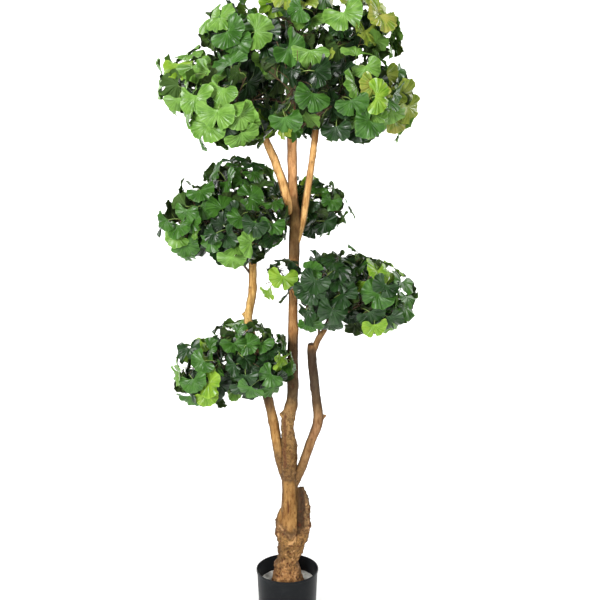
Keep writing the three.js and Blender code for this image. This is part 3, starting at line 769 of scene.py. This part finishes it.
# Places that stay open, as balls: the gap in the crown's front that shows its dark inside, and the bare
# trunk under the middle cloud. Each row is a middle and a radius.
OPENINGS = [
    ((-0.045, -0.300, 1.586), 0.052),
    ((-0.045, -0.220, 1.596), 0.056),
    ((0.010, -0.205, 1.005), 0.042),
]
HEARTS = np.array([mass[3] for mass in MASSES])
HALVES = np.array([mass[4] for mass in MASSES])


def unit(arrows):
    """Arrows at unit length, one or an array of them."""
    return arrows / np.linalg.norm(arrows, axis=-1, keepdims=True)


def curved(start, peak, end, shares):
    """Points on a curve from start to end that is drawn towards a peak."""
    shares = np.asarray(shares, float)[:, None]
    return (1.0 - shares) ** 2 * start + 2.0 * shares * (1.0 - shares) * peak + shares**2 * end


def arched(start, end, bow, shares):
    """Points on an arch from start to end that rises by bow times their distance."""
    peak = (start + end) / 2.0 + (0.0, 0.0, bow * np.linalg.norm(end - start))
    return curved(start, peak, end, shares)


def stem_points(index, shares):
    """Points of a mass's stem, from inside its limb to the mass's heart."""
    _, limb, up, heart = MASSES[index][:4]
    return arched(limb_at(STEM_LINES[limb], up)[:3], np.array(heart), STEM_ARCH, shares)


limb_balls = []
for stations in (TRUNK, SPUR, BOUGH_LEFT, BOUGH_RIGHT, RIGHT_SHOOT, CROWN_LEFT, CROWN_RIGHT):
    steps = len(stations) * BALLS_A_STATION
    limb_balls.extend(limb_at(stations, i / steps) for i in range(steps + 1))
stems = [stem_points(i, np.linspace(0.0, 1.0, STEM_RINGS)) for i in range(len(MASSES))]
stem_balls = [np.hstack([stem, np.full((STEM_RINGS, 1), STEM_RADII[0])]) for stem in stems]


def near_balls(index):
    """Balls that stand for the limbs and the other masses' stems near a mass."""
    balls = np.vstack([limb_balls, *np.delete(stem_balls, index, axis=0)])
    gaps = np.linalg.norm(balls[:, :3] - HEARTS[index], axis=1)
    return balls[gaps < HALVES[index].max() + BALLS_WITHIN]


BALLS = [near_balls(i) for i in range(len(MASSES))]


def from_heart(index, places):
    """Where places lie from a mass's heart, as shares of the oval's half widths."""
    return (places - HEARTS[index]) / HALVES[index]


def in_space(index, places):
    """Which places lie in a mass's oval, on its side of the planes halfway to the others, and clear of wood
    and of the openings."""
    out = places - HEARTS[index]
    fits = np.linalg.norm(from_heart(index, places), axis=-1) < 1.0
    away = np.delete(HEARTS, index, axis=0) - HEARTS[index]
    distance = np.linalg.norm(away, axis=1)
    fits &= (out @ (away / distance[:, None]).T < distance / 2.0 - SPACE_CLEAR).all(axis=-1)
    balls = BALLS[index]
    for middle, radius in OPENINGS:
        fits &= np.linalg.norm(places - middle, axis=-1) > radius
    gaps = np.linalg.norm(places[..., None, :] - balls[:, :3], axis=-1) - balls[:, 3]
    return fits & (gaps.min(axis=-1, initial=1.0) > LIMB_CLEAR)


def turned_about(arrow, axle, angle):
    """An arrow turned about an axle that it is square to."""
    return arrow * math.cos(angle) + np.cross(axle, arrow) * math.sin(angle)


def grow_twigs(index, roll):
    """A mass's main twigs and their side twigs, each as (points, radii)."""
    heart = HEARTS[index]
    half = HALVES[index]
    count = MASSES[index][5]
    mains = []
    sides = []
    for k in range(count):
        rise = 1.0 - (1.0 + DROOP) * (k + 0.5) / count
        turn = k * GOLDEN + index
        level = math.sqrt(1.0 - rise * rise)
        aim = np.array((math.cos(turn) * level, math.sin(turn) * level, rise))
        root = stem_points(index, [STEM_FORKS + (1.0 - STEM_FORKS) * ((k * TURN_SHARE) % 1.0)])[0]
        line = arched(root, heart + aim * half * TWIG_REACH, TWIG_BOW, np.linspace(0.0, 1.0, TWIG_RINGS))
        if not in_space(index, line[1::2]).all():
            continue
        mains.append((line, np.linspace(*TWIG_RADII, TWIG_RINGS)))
        along = unit(line[-1] - line[0])
        aside = unit(np.cross(along, unit(aim + roll.normal(0.0, 0.2, 3))))
        for s, share in enumerate(SIDE_STARTS):
            start = line[int(round(share * (TWIG_RINGS - 1)))]
            spread = turned_about(aside, along, (s + k) * GOLDEN)
            bend = unit(0.75 * along + spread + 0.15 * roll.normal(0.0, 1.0, 3))
            end = start + bend * SIDE_LENGTH * roll.uniform(0.8, 1.25)
            side = arched(start, end, TWIG_BOW, np.linspace(0.0, 1.0, SIDE_RINGS))
            if in_space(index, side[1:]).all():
                sides.append((side, np.linspace(*SIDE_RADII, SIDE_RINGS)))
    return mains, sides


brown_tape, shader, coordinates = new_material("brown paper tape")
wound = cloudy(coordinates, 240.0, 3.0)
body = mixed(faded(wound, 0.35, 0.65), tone(58, 42, 26), tone(98, 76, 46))
painted(shader, body, faded(wound, 0.3, 0.7, 0.6, 0.8))
bumped(shader, wound, 0.6, 0.0006)

grown = []
for index, mass in enumerate(MASSES):
    roll = np.random.default_rng(mass[6])
    mains, sides = grow_twigs(index, roll)
    grown.append((mains, sides, roll))
    parts = [tube(stems[index], np.linspace(*STEM_RADII, STEM_RINGS), STEM_SIDES)]
    parts += [tube(line, radii, TWIG_SIDES) for line, radii in mains]
    parts += [tube(line, radii, SIDE_SIDES) for line, radii in sides]
    twigs = add_piece("twigs_" + mass[0], *joined(parts), brown_tape)
    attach(twigs, "root")
    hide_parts("foliage_" + mass[0])

# The leaves. Fans of green-printed cloth, heat-pressed into pleats that run out from the stalk and coated
# with a satin film. Each is glued on a pale wire stalk, dished, and ruffled and cleft at its edge.
LEAF_REACH = 0.053
LEAF_SIZES = {"crown": (0.84, 1.14), "middle": (0.70, 0.94), "right": (0.74, 0.98), "low": (0.72, 0.96)}
LEAF_COLUMNS = 48
LEAF_ROWS = (0.20, 0.44, 0.66, 0.85, 1.0)
LEAF_PLEAT = 0.044
STALK_LENGTH = (0.020, 0.044)
STALK_RADII = (0.0012, 0.0010)
STALK_SIDES = 5
STALK_RINGS = 4
STALK_BOW = 0.15
STALK_UNDER = 0.002
TRIES = 28
LOOKED_AT = 8
STRAY_TONE = 0.3
# Leaves on a mass's inner side and near its heart are darkened as painted shade.
INNER_SIDE = -0.05
INNER_DARK = 0.8
DARK_TONE = 2
SHADE_TONE = 6
SHADE_DEPTH = 0.60
SHADE_SHARE = 0.85
CROWDING = 0.37
NEAR_LEAF = 2.6 * LEAF_REACH
EDGE_CHECKED = 0.94
MAIN_LEAVES = (1.0, 0.88, 0.75, 0.62, 0.5, 0.38)
SIDE_LEAVES = (1.0, 0.7, 0.4)
LEAF_TONES = {
    "fresh green": (tone(106, 145, 60), tone(78, 118, 40)),
    "mid green": (tone(61, 103, 33), tone(43, 80, 23)),
    "dark green": (tone(34, 64, 24), tone(22, 46, 17)),
    "young green": (tone(122, 154, 42), tone(92, 132, 30)),
    "olive": (tone(132, 146, 54), tone(96, 120, 36)),
    "blush": (tone(150, 150, 66), tone(104, 130, 42)),
    "shade green": (tone(28, 52, 22), tone(18, 36, 15)),
}

# Pressed veins: pleats and finer veins that fan out from the stalk, and how near the stalk a place lies.
veins, inside, outside = new_group(
    "Pressed veins", {"Fan": None, "Veins": 45.0}, ["Vein", "Height", "Heart", "Margin"]
)
fan = place_node("SeparateXYZ", {"Vector": inside["Fan"]}).outputs
turns = scaled(fan["X"], scaled(inside["Veins"], math.tau))
ripple = sum_of("SINE", turns)
veins.links.new(faded(ripple, 0.55, 1.0), outside["Vein"])
veins.links.new(scaled(ripple, faded(fan["Y"], 0.02, 0.3)), outside["Height"])
veins.links.new(faded(fan["Y"], 0.55, 0.0), outside["Heart"])
veins.links.new(faded(fan["Y"], 0.90, 1.0), outside["Margin"])


def leaf_material(name, outer, inner):
    """Satin-coated cloth: pale veins and heart, a deeper body, and a paler, duller underside."""
    material, shader, coordinates = new_material(name)
    pressed = use_group(veins, {"Fan": coordinates.node.outputs["UV"], "Veins": 18.0})
    mottle = cloudy(coordinates, 42.0, 3.0)
    body = mixed(faded(mottle, 0.35, 0.65), inner, outer)
    paler = tuple(min(1.0, 1.5 * c + 0.01) for c in outer[:3]) + (1.0,)
    for part, share in (("Vein", 0.34), ("Heart", 0.35), ("Margin", 0.3)):
        body = tinted(body, pressed[part], share, paler)
    under = tuple(0.7 * a + 0.3 * b for a, b in zip(inner, tone(104, 128, 62)))
    behind = material.node_tree.nodes.new("ShaderNodeNewGeometry").outputs["Backfacing"]
    satin = faded(mottle, 0.3, 0.7, 0.28, 0.38)
    roughness = sum_of("MULTIPLY_ADD", behind, 0.25, satin)
    painted(shader, mixed(behind, body, under), roughness, 0.31)
    bumped(shader, pressed["Height"], 0.35, 0.0006)
    return material


stalk_green, shader, coordinates = new_material("stalk green")
mottle = cloudy(coordinates, 160.0)
body = mixed(mottle, tone(98, 132, 52), tone(146, 166, 84))
painted(shader, body, faded(mottle, 0.3, 0.7, 0.4, 0.55))
leaf_materials = [leaf_material(name, *tones) for name, tones in LEAF_TONES.items()]

# Which tones a mass's sprays take, in percent and in the order of LEAF_TONES: the crown is fresh on its left
# and olive and blushed on its right, and the right-hand cloud is dark, partly from dark leaves and partly
# as painted shade.
TONE_SHARES = {
    "crown_left": (50, 32, 10, 8, 0, 0),
    "crown_left_low": (66, 20, 2, 12, 0, 0),
    "crown_top": (34, 32, 14, 6, 8, 6),
    "crown_front": (34, 42, 6, 2, 10, 6),
    "crown_front_left": (68, 18, 4, 10, 0, 0),
    "crown_front_right": (30, 34, 6, 4, 16, 10),
    "crown_right": (20, 26, 4, 16, 24, 10),
    "crown_back": (26, 32, 24, 6, 8, 4),
    "middle": (14, 54, 30, 2, 0, 0),
    "middle_low": (50, 10, 0, 40, 0, 0),
    "right_near": (2, 10, 86, 2, 0, 0),
    "right": (6, 18, 72, 4, 0, 0),
    "right_far": (20, 30, 45, 5, 0, 0),
    "low": (24, 50, 20, 5, 1, 0),
    "low_left": (36, 34, 12, 16, 2, 0),
    "low_right": (10, 46, 38, 6, 0, 0),
}


def tone_shares(name):
    """The shares of the longest key that a mass's name starts with."""
    key = max((key for key in TONE_SHARES if name.startswith(key)), key=len)
    return np.array(TONE_SHARES[key]) / 100


def blade(across, out, shape):
    """Places on a leaf of unit reach, as shares along its axis, aside and up. across runs from -1 to 1 over
    the fan and out from 0 at the stalk to 1 at the edge."""
    bay = 0.62 + 0.38 * np.sqrt(out)
    angle = across * shape["sector"] * bay
    edge = 0.93 + 0.04 * across**2 - shape["cleft"] * np.exp(-((across / 0.055) ** 2))
    edge = edge - 0.05 * (1.0 - np.abs(np.sin(across * shape["lobes"] * math.pi / 2.0 + shape["phase"])))
    edge = edge + 0.045 * np.sin(across * shape["uneven"] + 2.0 * shape["phase"])
    wing = np.maximum(np.abs(across) - 0.76, 0.0) / 0.24
    edge = edge * (0.60 + 0.40 * np.sqrt(1.0 - wing**2))
    reach = out * edge
    along = reach * np.cos(angle)
    aside = reach * np.sin(angle)
    up = shape["dish"] * np.sin(out * 2.6) * 0.6 - shape["bend"] * np.maximum(along, 0.0) ** 2
    up = up + shape["wings"] * np.abs(across) ** 2.5 * out
    up = up + shape["ruffle"] * out**2 * np.sin(across * shape["waves"] * math.pi + shape["phase"])
    return along, aside, up


# How leaves vary: two numbers are the ends of a range, and four are the choices.
LEAF_SHAPES = {
    "sector": (1.85, 2.3),
    "cleft": (0.0, 0.12, 0.3, 0.42),
    "dish": (0.08, 0.2),
    "bend": (0.05, 0.5),
    "wings": (-0.2, 0.5),
    "lobes": (8.0, 9.0, 10.0, 11.0),
    "uneven": (3.0, 7.0),
    "ruffle": (0.05, 0.13),
    "waves": (3.0, 6.0),
    "phase": (0.0, math.tau),
}
PLAIN_SHAPE = {
    "sector": 2.1, "cleft": 0.1, "lobes": 0.0, "uneven": 0.0, "phase": 0.0,
    "dish": 0.14, "bend": 0.18, "wings": 0.2, "ruffle": 0.0, "waves": 4.0,
}
EDGE_ACROSS = np.linspace(-0.96, 0.96, 7)
INNER_ACROSS = np.array([-0.8, -0.3, 0.3, 0.8])


def fan_places(across, out, shape):
    """Places on a leaf of unit reach, at several shares across the fan and one share out."""
    return np.stack(blade(across, np.full(len(across), out), shape), axis=-1)


# Places that have to lie in the mass's space, and the middle that a leaf's room is measured from.
SAMPLES = [fan_places(EDGE_ACROSS, 1.0, PLAIN_SHAPE), fan_places(INNER_ACROSS, 0.6, PLAIN_SHAPE)]
SAMPLES = np.vstack([*SAMPLES, [(0.0, 0.0, 0.0)]])
MIDDLE = np.array((0.42, 0.0, 0.05))


def on_leaf(leaf, shares):
    """Places on a leaf from its shares along, aside and up."""
    sideways = np.cross(leaf["face"], leaf["axis"])
    directions = np.stack([leaf["axis"], sideways, leaf["face"]])
    return leaf["junction"] + leaf["reach"] * (shares @ directions)


def flats_and_edges(leaf):
    """A leaf as flat pieces that meet at its stalk, and its outline with its stalk as straight edges."""
    edge = on_leaf(leaf, EDGE_CHECKED * fan_places(EDGE_ACROSS, 1.0, leaf["shape"]))
    hub = np.broadcast_to(leaf["junction"], edge[1:].shape)
    flats = np.stack([hub, edge[:-1], edge[1:]], axis=1)
    starts = np.vstack([leaf["root"], leaf["junction"], edge])
    ends = np.vstack([leaf["junction"], edge, leaf["junction"]])
    return flats, starts, ends


def pierced(starts, ends, flats):
    """Whether any straight edge passes through any flat piece."""
    run = ends - starts
    first = flats[:, 1] - flats[:, 0]
    second = flats[:, 2] - flats[:, 0]
    square = np.cross(run[:, None], second)
    scale = (first * square).sum(-1)
    scale = np.where(np.abs(scale) < 1e-12, 1e-12, scale)
    gap = starts[:, None] - flats[:, 0]
    u = (gap * square).sum(-1) / scale
    other = np.cross(gap, first)
    v = (run[:, None] * other).sum(-1) / scale
    way = (second * other).sum(-1) / scale
    return bool(((u >= 0) & (v >= 0) & (u + v <= 1) & (way >= 0) & (way <= 1)).any())


def leaf_tries(index, root, along, turn, roll):
    """Tries at a leaf on a twig. The stalk leaves aside and outward, and the blade runs on, hangs, and faces
    away from its mass's heart and its cloud's foot."""
    outward = unit(from_heart(index, root))
    cloud = MASSES[index][0].split("_")[0]
    away = unit(root - CLOUDS[cloud])
    aside = np.cross(along, outward)
    if np.linalg.norm(aside) < 0.05:
        aside = np.cross(along, (0.3, 0.2, 1.0))
    aside = unit(aside)
    for attempt in range(TRIES):
        spread = turned_about(aside, along, turn + attempt * GOLDEN)
        stalk = unit(roll.uniform(-0.3, 0.3, 3) + 0.45 * along + 0.7 * spread + 0.4 * outward)
        axis = roll.uniform(-0.35, 0.35, 3) + 0.75 * spread + 0.15 * outward
        axis[2] -= roll.uniform(0.25, 1.0)
        axis = unit(axis)
        face = roll.uniform(-0.95, 0.95, 3) + 0.45 * outward + 0.6 * away + (0.0, 0.0, 0.3)
        face = unit(face - axis * (face @ axis))
        if stalk @ axis < 0.15 or stalk @ face < -0.35:
            continue
        junction = root + stalk * roll.uniform(*STALK_LENGTH)
        reach = LEAF_REACH * roll.uniform(*LEAF_SIZES[cloud])
        shape = {}
        for part, values in LEAF_SHAPES.items():
            shape[part] = roll.uniform(*values) if len(values) == 2 else roll.choice(values)
        leaf = {"root": root, "junction": junction, "axis": axis, "face": face, "reach": reach}
        yield leaf | {"along": along, "shape": shape}


def grow_leaves(index, mains, sides, roll):
    """Leaves round the outer part of each twig, each in the roomiest of its tries that crosses nothing."""
    spots = [(line, share, t) for t, (line, _) in enumerate(mains) for share in MAIN_LEAVES]
    spots += [(line, share, len(mains) + t) for t, (line, _) in enumerate(sides) for share in SIDE_LEAVES]
    spots.sort(key=lambda spot: -spot[1])
    wires = [stem_points(index, np.linspace(0.0, 1.0, TWIG_RINGS))] + [line for line, _ in mains + sides]
    wire_starts = np.vstack([wire[:-1] for wire in wires])
    wire_ends = np.vstack([wire[1:] for wire in wires])
    leaves = []
    middles = np.empty((0, 3))
    for s, (line, share, spray) in enumerate(spots):
        last = len(line) - 1
        root = line[int(round(share * last))]
        along = unit(line[-1] - line[0])
        found = []
        for leaf in leaf_tries(index, root, along, s * GOLDEN, roll):
            middle = on_leaf(leaf, MIDDLE)
            room = np.linalg.norm(middles - middle, axis=1).min() if leaves else 1.0
            if room > leaf["reach"] * CROWDING:
                found.append((room, leaf, middle))
        if not found:
            continue
        fits = in_space(index, np.array([on_leaf(leaf, SAMPLES) for _, leaf, _ in found])).all(axis=-1)
        found = sorted((entry for entry, fit in zip(found, fits) if fit), key=lambda entry: -entry[0])
        for _, leaf, middle in found[:LOOKED_AT]:
            flats, starts, ends = flats_and_edges(leaf)
            if pierced(wire_starts, wire_ends, flats):
                continue
            close = [np.linalg.norm(other - middle) < NEAR_LEAF for other in middles]
            near = [other["checked"] for other, is_close in zip(leaves, close) if is_close]
            if near:
                other_flats, other_starts, other_ends = map(np.concatenate, zip(*near))
                if pierced(starts, ends, other_flats) or pierced(other_starts, other_ends, flats):
                    continue
            leaf.update(checked=(flats, starts, ends), spray=spray)
            leaves.append(leaf)
            middles = np.vstack([middles, middle])
            break
    return leaves


COLUMNS = LEAF_COLUMNS + 1
GRID_ACROSS, GRID_OUT = np.meshgrid(np.linspace(-1.0, 1.0, COLUMNS), LEAF_ROWS)
blade_faces = [(0, 1 + k, 2 + k) for k in range(LEAF_COLUMNS)]
blade_faces += [(a, d, c, b) for a, b, c, d in net(len(LEAF_ROWS), COLUMNS, 1)]


def blade_points(leaf):
    """The points of a leaf's blade, the stalk's place first, and where each lies on the fan."""
    along, aside, up = blade(GRID_ACROSS, GRID_OUT, leaf["shape"])
    pleats = np.sin(np.arange(COLUMNS) * math.pi / 2.0) * LEAF_PLEAT
    up = up + pleats[None, :] * GRID_OUT * (1.0 - 0.3 * GRID_OUT)
    shares = np.stack([along.ravel(), aside.ravel(), up.ravel()], axis=-1)
    points = np.vstack([leaf["junction"], on_leaf(leaf, shares)])
    fan = np.stack([(GRID_ACROSS.ravel() + 1.0) / 2.0, GRID_OUT.ravel()], axis=-1)
    return points, np.vstack([(0.5, 0.0), fan])


def stalk_tube(leaf):
    """A leaf's stalk, from inside its twig to under the blade, where it turns along the blade's axis."""
    root = leaf["root"]
    end = leaf["junction"] + leaf["axis"] * STALK_UNDER - leaf["face"] * STALK_RADII[1] * 0.5
    bow = (root + end) / 2.0 + STALK_BOW * np.linalg.norm(end - root) * (leaf["along"] - leaf["axis"])
    line = curved(root, bow, end, np.linspace(0.0, 1.0, STALK_RINGS))
    return tube(line, np.linspace(*STALK_RADII, STALK_RINGS), STALK_SIDES)


for index, mass in enumerate(MASSES):
    mains, sides, roll = grown[index]
    shares = tone_shares(mass[0])
    spray_tones = roll.choice(len(shares), len(mains) + len(sides), p=shares)
    outward = unit((HEARTS[index] - CLOUDS[mass[0].split("_")[0]]) / HALVES[index])
    parts = []
    fans = []
    slots = []
    for leaf in grow_leaves(index, mains, sides, roll):
        kind = spray_tones[leaf["spray"]]
        if roll.random() < STRAY_TONE:
            kind = roll.choice(len(shares), p=shares)
        place = from_heart(index, leaf["junction"])
        # Painted shade: leaves on a cloud's inner side take the dark green, and leaves near a mass's heart
        # the shade green.
        if place @ outward < INNER_SIDE and roll.random() < INNER_DARK:
            kind = DARK_TONE
        if np.linalg.norm(place) < SHADE_DEPTH and roll.random() < SHADE_SHARE:
            kind = SHADE_TONE
        points, fan = blade_points(leaf)
        stalk_points, stalk_faces = stalk_tube(leaf)
        parts += [(points, blade_faces), (stalk_points, stalk_faces)]
        fans += [fan, np.zeros((len(stalk_points), 2))]
        slots += [int(kind)] * len(blade_faces) + [len(LEAF_TONES)] * len(stalk_faces)
    leaves = add_piece("leaves_" + mass[0], *joined(parts), leaf_materials[0])
    for material in [*leaf_materials[1:], stalk_green]:
        leaves.data.materials.append(material)
    leaves.data.polygons.foreach_set("material_index", slots)
    corners = np.empty(len(leaves.data.loops), int)
    leaves.data.loops.foreach_get("vertex_index", corners)
    fan_map = leaves.data.uv_layers.new(name="fan")
    fan_map.data.foreach_set("uv", np.vstack(fans)[corners].ravel())
    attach(leaves, "root")
    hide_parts("foliage_" + mass[0])

# The studio. A white paper sweep that runs from the floor up behind the tree, square soft lights in front,
# above and on the sweep, and the camera 2.4 m off at chest height, looking slightly down. A light has a
# place, an aim, a width and its watts.
SWEEP_HALF_WIDTH = 3.2
SWEEP_FRONT = -5.0
SWEEP_BACK = 2.6
SWEEP_BEND = 1.4
SWEEP_TOP = 4.0
ROOM_LIGHT = 0.11
LIGHTS = [
    ("key light", (-1.4, -3.0, 1.8), (0.0, 0.0, 1.25), 0.8, 120.0),
    ("fill light", (1.6, -3.1, 1.2), (0.0, 0.0, 1.3), 1.1, 40.0),
    ("top light", (0.0, -0.5, 3.9), (0.0, 0.0, 1.0), 1.4, 50.0),
    ("sweep light left", (-3.0, 1.4, 2.6), (0.0, 4.0, 1.4), 2.0, 170.0),
    ("sweep light right", (3.0, 1.4, 2.6), (0.0, 4.0, 1.4), 2.0, 170.0),
]
CAMERA_PLACE = (0.039, -2.414, 1.384)
CAMERA_DOWN = 8.8
white_paper, shader, coordinates = new_material("white paper")
fibre = cloudy(coordinates, 6.0)
body = mixed(fibre, tone(247, 247, 246), tone(252, 252, 251))
painted(shader, body, faded(fibre, 0.3, 0.7, 0.85, 0.95))
line = [(y, 0.0) for y in np.linspace(SWEEP_FRONT, SWEEP_BACK, 12)]
bend_steps = [math.radians(a) for a in range(6, 96, 6)]
line += [(SWEEP_BACK + SWEEP_BEND * math.sin(a), SWEEP_BEND * (1.0 - math.cos(a))) for a in bend_steps]
line += [(SWEEP_BACK + SWEEP_BEND, z) for z in np.linspace(SWEEP_BEND + 0.3, SWEEP_TOP, 8)]
widths = np.linspace(-SWEEP_HALF_WIDTH, SWEEP_HALF_WIDTH, 13)
points = [(x, y, z) for y, z in line for x in widths]
faces = net(len(line), len(widths))
add_piece("sweep", points, faces, white_paper)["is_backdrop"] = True

for name, place, aim, width, power in LIGHTS:
    lamp = bpy.data.lights.new(name, "AREA")
    lamp.size = width
    lamp.energy = power
    light = bpy.data.objects.new(name, lamp)
    light.location = place
    light.rotation_euler = (Vector(aim) - Vector(place)).to_track_quat("-Z", "Y").to_euler()
    bpy.context.scene.collection.objects.link(light)

# The room beyond the sweep lights the tree a little, and the camera sees it as white as the paper.
studio_air = bpy.data.worlds.new("studio air")
studio_air.use_nodes = True
tree = studio_air.node_tree
background = tree.nodes["Background"].inputs
background["Color"].default_value = (1.0, 1.0, 1.0, 1.0)
seen = tree.nodes.new("ShaderNodeLightPath").outputs["Is Camera Ray"]
tree.links.new(sum_of("MULTIPLY_ADD", seen, 1.0 - ROOM_LIGHT, ROOM_LIGHT), background["Strength"])
bpy.context.scene.world = studio_air
bpy.context.scene.view_settings.view_transform = "Standard"

lens = bpy.data.cameras.new("camera")
lens.lens = 50.0
lens.sensor_width = 36.0
camera = bpy.data.objects.new("camera", lens)
camera.location = CAMERA_PLACE
camera.rotation_euler = (math.radians(90.0 - CAMERA_DOWN), 0.0, 0.0)
bpy.context.scene.collection.objects.link(camera)
bpy.context.scene.camera = camera

# The sizes of the solids and of the dressed tree, kept side by side.
boxes = {"solids": solids_box, "dressed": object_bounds()}
{name: [list(map(float, corner)) for corner in box] for name, box in boxes.items()}
